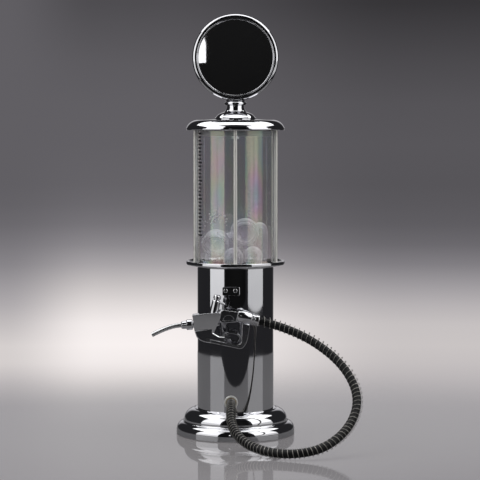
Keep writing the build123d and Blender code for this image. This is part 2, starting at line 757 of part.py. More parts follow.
stem_screw_outline = (
    (plug_bottom_z - 3, 0), (plug_bottom_z - 3, 4.2), (plug_bottom_z, 4.6), (plug_bottom_z, 2),
    (388.6, 2), (388.6, 0),
)
save(turned(stem_screw_outline), "stem_screw")

face_radius = 43.3
crest_radius = 47.2
with BuildPart() as sign_rim:
    with BuildSketch(Plane(origin=(0, 0, sign_z), x_dir=(0, -1, 0), z_dir=(1, 0, 0))):
        with BuildLine():
            Line((-4.6, face_radius), (4.6, face_radius))
            for side in (1, -1):
                Line((side * 4.6, face_radius), (side * 5.6, face_radius + 0.1))
                ThreePointArc(
                    (side * 5.6, face_radius + 0.1), (side * 6.7, face_radius + 0.9),
                    (side * 5.2, face_radius + 1.8),
                )
                Line((side * 5.2, face_radius + 1.8), (side * 5.2, crest_radius - 0.3))
                Line((side * 5.2, crest_radius - 0.3), (side * sign_half_depth, crest_radius))
                ThreePointArc(
                    (side * sign_half_depth, crest_radius), (side * 6.6, crest_radius + 1.75),
                    (side * 4.6, sign_radius),
                )
            Line((4.6, sign_radius), (-4.6, sign_radius))
        make_face()
    revolve(axis=Axis((0, 0, sign_z), FRONT))
save(sign_rim, "sign_rim")

dome_rise = 1.8
dome_radius = (face_radius**2 + dome_rise**2) / (2 * dome_rise)
face_apex = 5.2
for face_name, side in (("sign_face_front", -1), ("sign_face_back", 1)):
    with BuildPart() as sign_face:
        with BuildSketch(Plane(origin=(0, side * 2.2, sign_z), z_dir=(0, side, 0))):
            Circle(face_radius - 0.05)
        extrude(amount=face_apex - 2.2 + 1)
        with Locations((0, side * (face_apex - dome_radius), sign_z)):
            Sphere(dome_radius, mode=Mode.INTERSECT)
    save(sign_face, face_name)

save(turned(((-2.1, 0), (-2.1, 40), (2.1, 40), (2.1, 0)), (0, 0, sign_z), FRONT, UP), "sign_core")

# ---------------------------------------------------------------- ice in the tank
# round-topped pieces: foot x, y and height above the tank floor, lean, compass angle
# of the lean, radius and length
ice_floor_z = floor_top_z + 0.1
ice_pieces = (
    (-23.4, -13, 20.8, 70, 86, 15.2, 27), (-2.2, -27, 0, 0, 0, 11.4, 20), (28.5, 12, 0, 0, 0, 10.2, 47),
    (-4, 26, 0, 0, 0, 13.3, 34), (4, 2, 1.6, 0, 0, 11.5, 17), (11, -13, 35.4, 70, 94, 16.4, 21),
    (19.6, -22.8, 0, 0, 0, 10.6, 21), (-27, 14, 0, 0, 0, 10.5, 14),
)
with BuildPart() as ice_cubes:
    for x, y, height, lean, toward, radius, length in ice_pieces:
        lean, toward = math.radians(lean), math.radians(toward)
        foot = (x, y, ice_floor_z + height)
        direction = (
            math.sin(lean) * math.cos(toward), math.sin(lean) * math.sin(toward), math.cos(lean),
        )
        with Locations(Plane(origin=foot, z_dir=direction)):
            Cylinder(radius, length - radius, align=(Align.CENTER, Align.CENTER, Align.MIN))
        with Locations(Plane(origin=along(foot, direction, length - radius), z_dir=direction)):
            Sphere(radius, arc_size1=0, align=(Align.CENTER, Align.CENTER, Align.MIN))
save(ice_cubes, "ice_cubes")
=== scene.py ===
import json
import math
import random

import bmesh
import bpy
from mathutils import Matrix, Vector


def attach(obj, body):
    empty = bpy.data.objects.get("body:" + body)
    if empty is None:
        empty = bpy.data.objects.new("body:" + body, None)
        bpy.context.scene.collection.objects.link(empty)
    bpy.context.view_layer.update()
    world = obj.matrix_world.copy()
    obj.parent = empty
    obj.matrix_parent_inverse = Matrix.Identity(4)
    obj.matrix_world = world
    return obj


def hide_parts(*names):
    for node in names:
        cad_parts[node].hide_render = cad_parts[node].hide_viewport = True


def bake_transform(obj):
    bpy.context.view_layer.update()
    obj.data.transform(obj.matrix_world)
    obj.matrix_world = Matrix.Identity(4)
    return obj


# Looks for the petrol-pump drinks dispenser. Everything is in metres, in the frame of the packed
# CAD model: the base rests on z = 0 and the gun side faces -Y.

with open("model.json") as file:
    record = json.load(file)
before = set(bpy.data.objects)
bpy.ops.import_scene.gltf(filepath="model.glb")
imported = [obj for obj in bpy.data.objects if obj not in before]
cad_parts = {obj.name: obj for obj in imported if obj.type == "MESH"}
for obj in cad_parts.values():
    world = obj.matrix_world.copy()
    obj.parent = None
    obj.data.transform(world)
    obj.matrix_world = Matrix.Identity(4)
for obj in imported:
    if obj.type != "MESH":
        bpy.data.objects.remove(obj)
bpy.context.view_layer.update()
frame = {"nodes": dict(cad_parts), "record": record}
MM = 0.001
TURN = 2 * math.pi
UP = Vector((0, 0, 1))
rng = random.Random(11)

# ---------------------------------------------------------------- camera
CAMERA_PLACE = Vector((0.0053, -2.2, 0.373))
CAMERA_AIM = Vector((0.0053, 0, 0.2276))
LENS_MM = 141.45
SENSOR_MM = 36
FAR_CLIP = 50


def new_object(name, data):
    thing = bpy.data.objects.new(name, data)
    bpy.context.scene.collection.objects.link(thing)
    return thing


def aimed_from(place, aim):
    """The rotation that points a camera or light at place towards aim."""
    return (Vector(aim) - Vector(place)).to_track_quat("-Z", "Y").to_euler()


def make_camera():
    data = bpy.data.cameras.new("camera")
    data.lens = LENS_MM
    data.sensor_width = SENSOR_MM
    data.clip_end = FAR_CLIP
    camera = new_object("camera", data)
    camera.location = CAMERA_PLACE
    camera.rotation_euler = aimed_from(CAMERA_PLACE, CAMERA_AIM)
    bpy.context.scene.camera = camera


# ---------------------------------------------------------------- mesh helpers
def finish_mesh(name, bm, smooth):
    """Turn a bmesh into an object with its faces pointing outwards."""
    bmesh.ops.recalc_face_normals(bm, faces=bm.faces)
    mesh = bpy.data.meshes.new(name)
    bm.to_mesh(mesh)
    bm.free()
    mesh.polygons.foreach_set("use_smooth", [smooth] * len(mesh.polygons))
    return new_object(name, mesh)


def mesh_piece(name, vertices, faces, smooth=True):
    mesh = bpy.data.meshes.new(name)
    mesh.from_pydata([tuple(v) for v in vertices], [], faces)
    mesh.validate()
    bm = bmesh.new()
    bm.from_mesh(mesh)
    bpy.data.meshes.remove(mesh)
    return finish_mesh(name, bm, smooth)


def stand_piece(name, bm, material, smooth):
    """A finished piece that stays with the stand."""
    piece = finish_mesh(name, bm, smooth)
    piece.data.materials.append(material)
    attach(piece, "stand")
    return piece


def frames_along(points):
    """A right-handed frame at each point of a line, turned as little as possible on the way."""
    frames = []
    side = None
    for i, point in enumerate(points):
        ahead = points[min(i + 1, len(points) - 1)]
        behind = points[max(i - 1, 0)]
        forward = (ahead - behind).normalized()
        if side is None:
            side = forward.orthogonal().normalized()
        side = (side - forward * side.dot(forward)).normalized()
        frames.append((point, side, forward.cross(side)))
    return frames


def tube_mesh(name, points, radius, sides):
    """A closed round tube along a line of points."""
    vertices, faces = [], []
    for point, side, up in frames_along(points):
        for k in range(sides):
            angle = TURN * k / sides
            vertices.append(point + radius * (side * math.cos(angle) + up * math.sin(angle)))
    for i in range(len(points) - 1):
        for k in range(sides):
            a, b = i * sides + k, i * sides + (k + 1) % sides
            faces.append((a, b, b + sides, a + sides))
    faces.append(tuple(range(sides)))
    faces.append(tuple(len(vertices) - 1 - k for k in range(sides)))
    return mesh_piece(name, vertices, faces)


def resample(points, step):
    """Points at even distances along a line, and the line's length."""
    lengths = [0.0]
    for a, b in zip(points, points[1:]):
        lengths.append(lengths[-1] + (b - a).length)
    count = max(2, round(lengths[-1] / step))
    result, k = [], 0
    for i in range(count + 1):
        target = lengths[-1] * i / count
        while k < len(points) - 2 and lengths[k + 1] < target:
            k += 1
        share = (target - lengths[k]) / max(lengths[k + 1] - lengths[k], 1e-9)
        result.append(points[k].lerp(points[k + 1], min(max(share, 0), 1)))
    return result, lengths[-1]


# ---------------------------------------------------------------- hose
HOSE_RADIUS = 4.7 * MM
HOSE_SIDES = 28
HOSE_STEP = 2.0 * MM
HOSE_ROUTE_MM = (
    (-5, -47.5, 43), (-5, -75, 43), (-5, -107, 27), (7, -139, 14), (31, -167, 7.4), (64, -181, 6.6),
    (99, -173.5, 12.5), (127.5, -146, 32), (138, -119, 59), (125.5, -97, 88), (98, -78, 112),
    (60.2, -60, 130.8), (27.2, -60, 139.2),
)

WIRE_RADIUS = 0.35 * MM
WIRE_SIDES = 7
WIRE_STEP = 0.2 * MM
# the coil is snug and close at the port, then wider, looser and off centre towards the gun
WIRE_COIL_NEAR, WIRE_COIL_FAR = 5.15 * MM, 6.0 * MM
WIRE_PITCH_NEAR, WIRE_PITCH_FAR = 4.8 * MM, 6.0 * MM
WIRE_STANDOFF = 1.3 * MM
STANDOFF_FADE = 12 * MM
LOOSENING_RATE, LOOSENING_DELAY = 1.6, 0.35
PITCH_WANDER, WANDER_LENGTH = 0.08, 9 * MM
TABLE_GAP = 0.1 * MM


def hose_line():
    """The hose's centreline: one smooth open curve with the route's points as control points."""
    data = bpy.data.curves.new("hose_route", "CURVE")
    data.dimensions = "3D"
    spline = data.splines.new("NURBS")
    spline.points.add(len(HOSE_ROUTE_MM) - 1)
    for point, place in zip(spline.points, HOSE_ROUTE_MM):
        point.co = (*(c * MM for c in place), 1)
    spline.order_u = 3
    spline.use_endpoint_u = True
    spline.resolution_u = 24
    curve = new_object("hose_route", data)
    sampled = bpy.data.meshes.new_from_object(curve)
    points = [v.co.copy() for v in sampled.vertices]
    bpy.data.objects.remove(curve)
    return points


def bend_outwards(points):
    """Unit vectors pointing away from the centre of the bend at each point, smoothed."""
    reach, smoothing = 3, 12
    raw = []
    for i, point in enumerate(points):
        before = points[max(i - reach, 0)]
        after = points[min(i + reach, len(points) - 1)]
        raw.append(point - (before + after) / 2)
    result = []
    for i in range(len(points)):
        total = sum(raw[max(i - smoothing, 0):i + smoothing + 1], Vector())
        result.append(total.normalized() if total.length > 1e-7 else UP)
    return result


def wire_line(line, length):
    """The centreline of the steel wire wound round the hose."""
    fine, _ = resample(line, WIRE_STEP)
    outward = bend_outwards(fine)
    coil = []
    travelled = angle = 0.0
    for i, (point, side, up) in enumerate(frames_along(fine)):
        step = (fine[i] - fine[i - 1]).length if i else 0.0
        travelled += step
        loose = min(max(travelled / length * LOOSENING_RATE - LOOSENING_DELAY, 0), 1)
        pitch = WIRE_PITCH_NEAR + (WIRE_PITCH_FAR - WIRE_PITCH_NEAR) * loose
        angle += TURN * step / pitch * (1 + PITCH_WANDER * math.sin(travelled / WANDER_LENGTH))
        reach = WIRE_COIL_NEAR + (WIRE_COIL_FAR - WIRE_COIL_NEAR) * loose
        standoff = WIRE_STANDOFF * loose * min((length - travelled) / STANDOFF_FADE, 1)
        winding = (side * math.cos(angle) + up * math.sin(angle)) * reach
        place = point + outward[i] * standoff + winding
        place.z = max(place.z, WIRE_RADIUS + TABLE_GAP)
        coil.append(place)
    return coil


def make_hose(materials):
    line, length = resample(hose_line(), HOSE_STEP)
    hose = tube_mesh("hose_tube", line, HOSE_RADIUS, HOSE_SIDES)
    hose.data.materials.append(materials["black_hose"])
    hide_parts("hose")
    wire = tube_mesh("hose_guard_wire", wire_line(line, length), WIRE_RADIUS, WIRE_SIDES)
    wire.data.materials.append(materials["spring_wire"])
    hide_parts("hose_spring_guard")
    for piece in (hose, wire):
        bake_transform(piece)


# ---------------------------------------------------------------- valve spring
SPRING_BACK = Vector((-45.1, -60, 135)) * MM
SPRING_FRONT = Vector((-40.6, -60, 135)) * MM
SPRING_WIRE_RADIUS = 0.17 * MM
SPRING_WIRE_SIDES = 8
SPRING_COIL_RADIUS = 3.0 * MM
SPRING_TURNS = 3.5
SPRING_POINTS = 180


def make_valve_spring(materials):
    """The small coil behind the valve: one end on the gun's plug, the other on the valve's disc."""
    axis = SPRING_FRONT - SPRING_BACK
    inset = SPRING_WIRE_RADIUS / axis.length
    coil = []
    for k in range(SPRING_POINTS + 1):
        share = k / SPRING_POINTS
        angle = TURN * SPRING_TURNS * share
        winding = Vector((0, math.cos(angle), math.sin(angle))) * SPRING_COIL_RADIUS
        coil.append(SPRING_BACK + axis * (inset + (1 - 2 * inset) * share) + winding)
    spring = tube_mesh("valve_coil_spring", coil, SPRING_WIRE_RADIUS, SPRING_WIRE_SIDES)
    spring.data.materials.append(materials["spring_wire"])
    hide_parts("valve_spring")
    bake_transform(spring)


# ---------------------------------------------------------------- shader helpers
def node_material(name):
    material = bpy.data.materials.new(name)
    material.use_nodes = True
    tree = material.node_tree
    return material, tree, tree.nodes["Principled BSDF"]


def coordinates(tree, scale=(1, 1, 1)):
    source = tree.nodes.new("ShaderNodeTexCoord")
    mapping = tree.nodes.new("ShaderNodeMapping")
    mapping.inputs["Scale"].default_value = scale
    tree.links.new(source.outputs["Object"], mapping.inputs["Vector"])
    return mapping.outputs["Vector"]


def noise_node(tree, vector, scale, detail=3.0, roughness=0.55):
    node = tree.nodes.new("ShaderNodeTexNoise")
    node.inputs["Scale"].default_value = scale
    node.inputs["Detail"].default_value = detail
    node.inputs["Roughness"].default_value = roughness
    tree.links.new(vector, node.inputs["Vector"])
    return node.outputs["Fac"]


def ramp(tree, factor, stops):
    node = tree.nodes.new("ShaderNodeValToRGB")
    elements = node.color_ramp.elements
    while len(elements) < len(stops):
        elements.new(0.5)
    for element, (place, colour) in zip(elements, stops):
        element.position = place
        element.color = (*colour, 1)
    tree.links.new(factor, node.inputs["Fac"])
    return node.outputs["Color"]


def spread(tree, factor, low, high):
    """Maps a 0 to 1 value to low to high."""
    node = tree.nodes.new("ShaderNodeMapRange")
    node.inputs["To Min"].default_value = low
    node.inputs["To Max"].default_value = high
    tree.links.new(factor, node.inputs["Value"])
    return node.outputs["Result"]


def rise(tree, value, low, high, least=0.0):
    """Goes smoothly from least at low to 1 at high."""
    node = tree.nodes.new("ShaderNodeMapRange")
    node.interpolation_type = "SMOOTHSTEP"
    node.inputs["From Min"].default_value = low
    node.inputs["From Max"].default_value = high
    node.inputs["To Min"].default_value = least
    tree.links.new(value, node.inputs["Value"])
    return node.outputs["Result"]


def calculate(tree, operation, first, second, clamp=False):
    node = tree.nodes.new("ShaderNodeMath")
    node.operation = operation
    node.use_clamp = clamp
    tree.links.new(first, node.inputs[0])
    tree.links.new(second, node.inputs[1])
    return node.outputs["Value"]


def mix_colours(tree, factor, first, second):
    """The first colour at 0 and the second at 1. Each is a node's output or three fixed numbers."""
    node = tree.nodes.new("ShaderNodeMix")
    node.data_type = "RGBA"
    tree.links.new(factor, node.inputs["Factor"])
    for socket, colour in ((node.inputs[6], first), (node.inputs[7], second)):
        if isinstance(colour, tuple):
            socket.default_value = (*colour, 1)
        else:
            tree.links.new(colour, socket)
    return node.outputs[2]


def mix_shaders(tree, factor, first, second):
    node = tree.nodes.new("ShaderNodeMixShader")
    tree.links.new(factor, node.inputs["Fac"])
    tree.links.new(first, node.inputs[1])
    tree.links.new(second, node.inputs[2])
    return node.outputs["Shader"]


def show(tree, surface):
    tree.links.new(surface, tree.nodes["Material Output"].inputs["Surface"])


def transparent(tree, colour=(1, 1, 1)):
    node = tree.nodes.new("ShaderNodeBsdfTransparent")
    node.inputs["Color"].default_value = (*colour, 1)
    return node.outputs["BSDF"]


def bump(tree, shader, height, distance):
    node = tree.nodes.new("ShaderNodeBump")
    node.inputs["Distance"].default_value = distance
    node.inputs["Strength"].default_value = 1
    tree.links.new(height, node.inputs["Height"])
    tree.links.new(node.outputs["Normal"], shader.inputs["Normal"])
    return node


# ---------------------------------------------------------------- materials
def chrome_material(name, dark, light, gloss, ripple, edge=0.0):
    """Polished plate: faint smudges in gloss and colour, and a slow ripple from pressing or casting.

    edge is the radius over which sharp edges catch the light.
    """
    material, tree, shader = node_material(name)
    vector = coordinates(tree)
    haze = noise_node(tree, vector, 9, 3)
    smudge = noise_node(tree, vector, 38, 5)
    tree.links.new(ramp(tree, haze, ((0.3, dark), (0.7, light))), shader.inputs["Base Color"])
    tree.links.new(spread(tree, smudge, *gloss), shader.inputs["Roughness"])
    relief = bump(tree, shader, noise_node(tree, vector, 14, 1), ripple)
    if edge:
        bevel = tree.nodes.new("ShaderNodeBevel")
        bevel.samples = 8
        bevel.inputs["Radius"].default_value = edge
        tree.links.new(bevel.outputs["Normal"], relief.inputs["Normal"])
    shader.inputs["Metallic"].default_value = 1
    return material


def noise_material(
    name, tint, stops, gloss, gloss_noise=None, relief=0.0, relief_noise=None, stretch=(1, 1, 1),
    constants=None,
):
    """A material whose colour, roughness and relief each follow a noise.

    tint, gloss_noise and relief_noise hold a noise's scale, detail and roughness. Without a noise of
    its own the roughness follows the colour's noise, and the relief follows the roughness's.
    """
    material, tree, shader = node_material(name)
    vector = coordinates(tree, stretch)
    grain = noise_node(tree, vector, *tint)
    tree.links.new(ramp(tree, grain, stops), shader.inputs["Base Color"])
    if gloss_noise:
        grain = noise_node(tree, vector, *gloss_noise)
    tree.links.new(spread(tree, grain, *gloss), shader.inputs["Roughness"])
    if relief_noise:
        grain = noise_node(tree, vector, *relief_noise)
    if relief:
        bump(tree, shader, grain, relief)
    for socket, value in (constants or {}).items():
        shader.inputs[socket].default_value = value
    return material


def rubber_material(name, dark, light, scale, shine=0.5):
    """Fine-grained rubber with broad patches of dust."""
    return noise_material(
        name, (scale / 14, 4), ((0.3, dark), (0.75, light)), (0.34, 0.6), gloss_noise=(scale, 6, 0.7),
        relief=0.00006, constants={"Specular IOR Level": shine},
    )


def acrylic_material():
    """Clear drawn tube with a faint play of colour that drifts with height. It lets light through."""
    material, tree, shader = node_material("clear_acrylic")
    play = noise_node(tree, coordinates(tree, (1, 1, 0.45)), 26, 1)
    haze = noise_node(tree, coordinates(tree), 120, 4)
    tree.links.new(ramp(tree, play, (
        (0.32, (0.98, 0.955, 0.99)), (0.42, (0.955, 0.97, 0.99)), (0.5, (0.955, 0.985, 0.975)),
        (0.58, (0.985, 0.98, 0.95)), (0.68, (0.99, 0.955, 0.965)),
    )), shader.inputs["Base Color"])
    tree.links.new(spread(tree, haze, 0.0, 0.035), shader.inputs["Roughness"])
    tree.links.new(spread(tree, play, 120, 760), shader.inputs["Thin Film Thickness"])
    shader.inputs["Thin Film IOR"].default_value = 1.62
    shader.inputs["Transmission Weight"].default_value = 1
    shader.inputs["IOR"].default_value = 1.49
    path = tree.nodes.new("ShaderNodeLightPath")
    passing = calculate(tree, "MAXIMUM", path.outputs["Is Shadow Ray"], path.outputs["Is Diffuse Ray"])
    show(tree, mix_shaders(tree, passing, shader.outputs["BSDF"], transparent(tree, (0.93, 0.94, 0.95))))
    return material


def ice_material():
    """Cloudy ice: whitish and half see-through, denser where the surface turns away."""
    material, tree, shader = node_material("cloudy_ice")
    vector = coordinates(tree)
    cloud = noise_node(tree, vector, 120, 5, 0.65)
    tree.links.new(ramp(tree, cloud, ((0.3, (0.84, 0.81, 0.84)), (0.7, (1.0, 0.975, 0.99)))),
                   shader.inputs["Base Color"])
    tree.links.new(spread(tree, cloud, 0.10, 0.35), shader.inputs["Roughness"])
    weight = tree.nodes.new("ShaderNodeLayerWeight")
    weight.inputs["Blend"].default_value = 0.35
    rim = spread(tree, weight.outputs["Facing"], 0.0, 0.8)
    density = calculate(tree, "ADD", spread(tree, cloud, -0.05, 0.42), rim, clamp=True)
    tree.links.new(density, shader.inputs["Alpha"])
    bump(tree, shader, noise_node(tree, vector, 190, 3), 0.0006)
    shader.inputs["IOR"].default_value = 1.31
    return material


def make_materials():
    metal = {"Metallic": 1}
    return {
        "chrome": chrome_material(
            "chrome_plate", (0.60, 0.60, 0.625), (0.70, 0.70, 0.72), (0.02, 0.06), 0.00005,
        ),
        "cast_chrome": chrome_material(
            "cast_chrome_plate", (0.66, 0.66, 0.68), (0.76, 0.76, 0.78), (0.07, 0.14), 0.00008,
            edge=0.5 * MM,
        ),
        "bar_chrome": chrome_material(
            "bar_chrome_plate", (0.74, 0.74, 0.76), (0.84, 0.84, 0.86), (0.12, 0.2), 0.00004,
            edge=0.9 * MM,
        ),
        "mirror_face": chrome_material(
            "mirror_plate", (0.66, 0.66, 0.68), (0.74, 0.74, 0.76), (0.015, 0.04), 0.00003,
        ),
        # the grain of steel, sheet and rods is stretched along the way each was rolled or drawn
        "steel": noise_material(
            "bright_steel", (900, 4), ((0.2, (0.52, 0.52, 0.53)), (0.8, (0.72, 0.72, 0.73))), (0.12, 0.3),
            relief=0.00001, stretch=(1, 1, 0.06), constants=metal,
        ),
        "plain_steel": noise_material(
            "rolled_steel", (700, 5), ((0.2, (0.36, 0.36, 0.37)), (0.8, (0.52, 0.52, 0.53))), (0.3, 0.5),
            relief=0.00002, stretch=(1, 0.05, 1), constants=metal,
        ),
        "satin_rod": noise_material(
            "satin_rod", (1500, 3), ((0.25, (0.80, 0.785, 0.74)), (0.75, (0.93, 0.915, 0.87))), (0.36, 0.5),
            relief=0.00001, stretch=(1, 1, 0.01), constants={"Metallic": 0.45},
        ),
        "spring_wire": noise_material(
            "drawn_wire", (220, 4), ((0.3, (0.26, 0.25, 0.235)), (0.75, (0.52, 0.50, 0.465))), (0.22, 0.42),
            constants=metal,
        ),
        "brass": noise_material(
            "turned_brass", (60, 5), ((0.25, (0.42, 0.30, 0.12)), (0.75, (0.68, 0.52, 0.24))), (0.2, 0.42),
            relief=0.00002, relief_noise=(900, 2), constants=metal,
        ),
        "black_hose": rubber_material(
            "black_rubber_hose", (0.003, 0.003, 0.0035), (0.008, 0.008, 0.009), 700, shine=0.25,
        ),
        "foam_pad": rubber_material("foam_rubber_pad", (0.01, 0.01, 0.01), (0.03, 0.03, 0.03), 500),
        "seal_rubber": rubber_material("seal_rubber", (0.03, 0.03, 0.03), (0.06, 0.06, 0.06), 800),
        "dark_plastic": noise_material(
            "moulded_plastic", (30, 3), ((0.3, (0.03, 0.03, 0.033)), (0.7, (0.05, 0.05, 0.054))),
            (0.35, 0.5), gloss_noise=(1400, 3), relief=0.00003,
        ),
        "milky_plastic": noise_material(
            "milky_plastic", (40, 3), ((0.3, (0.46, 0.455, 0.46)), (0.7, (0.54, 0.535, 0.54))), (0.3, 0.45),
            gloss_noise=(300, 4),
        ),
        "clear_vinyl": noise_material(
            "clear_vinyl", (70, 4), ((0.3, (0.75, 0.78, 0.74)), (0.7, (0.86, 0.88, 0.84))), (0.12, 0.3),
            constants={"Transmission Weight": 0.7},
        ),
        "clear_acrylic": acrylic_material(),
        "ice": ice_material(),
        # the drops are near-white as painted highlight; clear water would show only small glints
        "water_painted_glint": noise_material(
            "water_drops_painted_glint", (500, 2), ((0.3, (0.80, 0.80, 0.82)), (0.7, (0.98, 0.98, 1.0))), (0.02, 0.1),
            constants={"Transmission Weight": 0.35, "IOR": 1.33},
        ),
        "ink": noise_material(
            "tank_ink", (900, 4), ((0.3, (0.012, 0.012, 0.014)), (0.75, (0.05, 0.05, 0.055))), (0.35, 0.6),
        ),
    }


# nodes that look different from the rest of their slot
NODE_FINISHES = {
    **dict.fromkeys((
        "gun_body", "gun_tower", "tower_cap", "hanging_lug", "hose_coupling", "hose_ferrule", "trigger",
        "spout_collar",
    ), "cast_chrome"),
    "trigger_guard": "bar_chrome",
    "port_bush": "satin_rod",
    "lid_plug": "milky_plastic",
    "lid_seal": "milky_plastic",
}


def dress_nodes(materials):
    """Every CAD node takes the material of its slot in the record, or its own finish."""
    for part in frame["record"]["subparts"]:
        node = frame["nodes"][part["node"]]
        finish = NODE_FINISHES.get(part["node"], part["material_slot"])
        node.data.materials.clear()
        node.data.materials.append(materials[finish])


# ---------------------------------------------------------------- marks on the tank
TANK_RADIUS = 44.5 * MM
MARK_COUNT = 29
MARK_LOWEST = 0.2345
MARK_SPACING = 0.0042
MARKS_PER_LONG = 5
LONG_MARK, SHORT_MARK = 5.0 * MM, 3.8 * MM
MARK_HALF_HEIGHT = 1.0 * MM
MARK_HALF_DEPTH = 0.14 * MM
MARK_SINK = 0.02 * MM
MARK_DEGREES = -66.5


def add_box(bm, centre, across, up, out):
    """A block; the three vectors run from its centre to the middles of three of its sides."""
    corners = []
    for a in (-1, 1):
        for b in (-1, 1):
            for c in (-1, 1):
                corners.append(bm.verts.new(centre + across * a + up * b + out * c))
    for face in ((0, 1, 3, 2), (4, 6, 7, 5), (0, 4, 5, 1), (2, 3, 7, 6), (0, 2, 6, 4), (1, 5, 7, 3)):
        bm.faces.new([corners[k] for k in face])


def tank_directions(degrees_right):
    """Outward and sideways directions at an angle to the right of the tank's front."""
    angle = math.radians(degrees_right)
    return Vector((math.sin(angle), -math.cos(angle), 0)), Vector((math.cos(angle), math.sin(angle), 0))


def make_scale_marks(materials):
    """Plain ticks in a column, every fifth one longer, with their right ends in line."""
    bm = bmesh.new()
    for k in range(MARK_COUNT):
        half_length = SHORT_MARK if k % MARKS_PER_LONG else LONG_MARK
        shift = math.degrees((LONG_MARK - half_length) / TANK_RADIUS)
        out, across = tank_directions(MARK_DEGREES - shift)
        centre = out * (TANK_RADIUS - MARK_SINK) + UP * (MARK_LOWEST + MARK_SPACING * k)
        add_box(bm, centre, across * half_length, UP * MARK_HALF_HEIGHT, out * MARK_HALF_DEPTH)
    stand_piece("tank_scale_marks", bm, materials["ink"], smooth=False)


# ---------------------------------------------------------------- ice and drops
ICE_FLOOR = 201.0 * MM
ICE_WALL = 3.8 * MM
ICE_SIDES = 40
# foot x, y and height above the floor in mm, lean and its compass angle in degrees, radius, length
ICE_PIECES = (
    (-23.4, -13.0, 20.5, 70, 86, 15.2, 27.0), (-2.2, -27.0, 0.3, 3, 300, 11.4, 19.5),
    (28.5, 12.0, 0.3, 1, 60, 10.0, 46.5), (-4.0, 26.0, 0.3, 4, 120, 13.3, 34.0),
    (4.0, 2.0, 1.2, 2, 60, 11.5, 17.0), (11.0, -13.0, 34.9, 70, 94, 16.4, 21.0),
    (19.6, -22.8, 0.3, 4, 20, 10.6, 20.5), (-27.0, 14.0, 0.3, 3, 150, 10.5, 14.0),
)


def domed_side(radius, top, angles):
    """Radius and height at some angles above the rim of a dome that ends at top."""
    return [(radius * math.cos(a), top - radius + radius * math.sin(a)) for a in angles]


def bridge(bm, low, high):
    """A band of faces between two rings with the same number of corners."""
    for k, corner in enumerate(low):
        n = (k + 1) % len(low)
        bm.faces.new((corner, low[n], high[n], high[k]))


def add_hollow_bullet(bm, foot, lean, toward, radius, length):
    """A round-topped ice piece with a hollow up its middle, leaning toward a compass angle."""
    turn = Matrix.Rotation(lean, 3, Vector((-math.sin(toward), math.cos(toward), 0)))
    outer = [(radius * 0.94, 0.0), (radius, 0.12 * length), (radius, length - radius)]
    outer += domed_side(radius, length, (0.3, 0.6, 0.9, 1.2, 1.4))
    bore = radius - ICE_WALL
    bore_top = length - ICE_WALL
    inner = domed_side(bore, bore_top, (1.4, 1.1, 0.7, 0.3))
    inner += [(bore, bore_top - bore), (bore * 0.92, 0.0)]
    skins = []
    for outline in (outer, inner):
        skin = []
        for r, z in outline:
            ring = []
            for k in range(ICE_SIDES):
                angle = TURN * k / ICE_SIDES
                three_lobes = 0.018 * math.sin(3 * angle + foot.x * 900)
                five_lobes = 0.012 * math.sin(5 * angle + z * 300)
                swell = 1 + three_lobes + five_lobes
                local = Vector((r * swell * math.cos(angle), r * swell * math.sin(angle), z))
                ring.append(bm.verts.new(foot + turn @ local))
            skin.append(ring)
        skins.append(skin)
        for low, high in zip(skin, skin[1:]):
            bridge(bm, low, high)
    outer_skin, inner_skin = skins
    bm.faces.new(outer_skin[-1])
    bm.faces.new(list(reversed(inner_skin[0])))
    bridge(bm, inner_skin[-1], outer_skin[0])


def make_ice(materials):
    bm = bmesh.new()
    for x, y, z, lean, toward, radius, length in ICE_PIECES:
        foot = Vector((x * MM, y * MM, ICE_FLOOR + z * MM))
        add_hollow_bullet(bm, foot, math.radians(lean), math.radians(toward), radius * MM, length * MM)
    ice = stand_piece("ice_pieces", bm, materials["ice"], smooth=True)
    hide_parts("ice_cubes")


DROP_SINK = 0.04 * MM
DROP_HEIGHT, DROP_DEPTH = 1.1, 0.5


def make_water_drops(materials):
    """Small flattened drops that cling to the tube above the ice. Their near-white colour is painted
    highlight, so that each shows as a bright point.
    """
    # degrees right of the front, height, radius in mm: a dense cluster, a wide patch and a fine spray
    drops = [(rng.gauss(-33, 6), rng.gauss(0.2545, 0.0045), rng.uniform(0.6, 1.3)) for _ in range(30)]
    drops += [(rng.uniform(-62, -8), rng.uniform(0.226, 0.252), rng.uniform(0.4, 1.0)) for _ in range(24)]
    drops += [(rng.uniform(8, 62), rng.uniform(0.235, 0.290), rng.uniform(0.25, 0.5)) for _ in range(18)]
    bm = bmesh.new()
    for degrees, height, radius_mm in drops:
        radius = radius_mm * MM
        out, across = tank_directions(degrees)
        centre = out * (TANK_RADIUS - DROP_SINK) + UP * height
        axes = Matrix((across * radius, UP * radius * DROP_HEIGHT, out * radius * DROP_DEPTH)).transposed()
        placed = Matrix.Translation(centre) @ axes.to_4x4()
        bmesh.ops.create_icosphere(bm, subdivisions=2, radius=1, matrix=placed)
    stand_piece("tank_water_drops", bm, materials["water_painted_glint"], smooth=True)


# ---------------------------------------------------------------- floor and card
FLOOR_CORNERS = 240
FLOOR_RADIUS = 0.78
# the near edge is cut straight across this far in front of the middle, bent back at its ends
FLOOR_FRONT = 0.465
FRONT_SQUEEZE = 1.3
FRONT_LIMIT = math.radians(80)
FLOOR_DULL_GLOSS = 0.5
FADE_START, FADE_END, FADE_LEAST = 0.12, 0.60, 0.3


def floor_outline():
    outline = []
    for k in range(FLOOR_CORNERS):
        angle = TURN * k / FLOOR_CORNERS - math.pi
        reach = FLOOR_RADIUS
        if abs(angle) * FRONT_SQUEEZE < FRONT_LIMIT:
            reach = min(reach, FLOOR_FRONT / math.cos(angle * FRONT_SQUEEZE))
        outline.append(Vector((math.sin(angle) * reach, -math.cos(angle) * reach, 0)))
    return outline


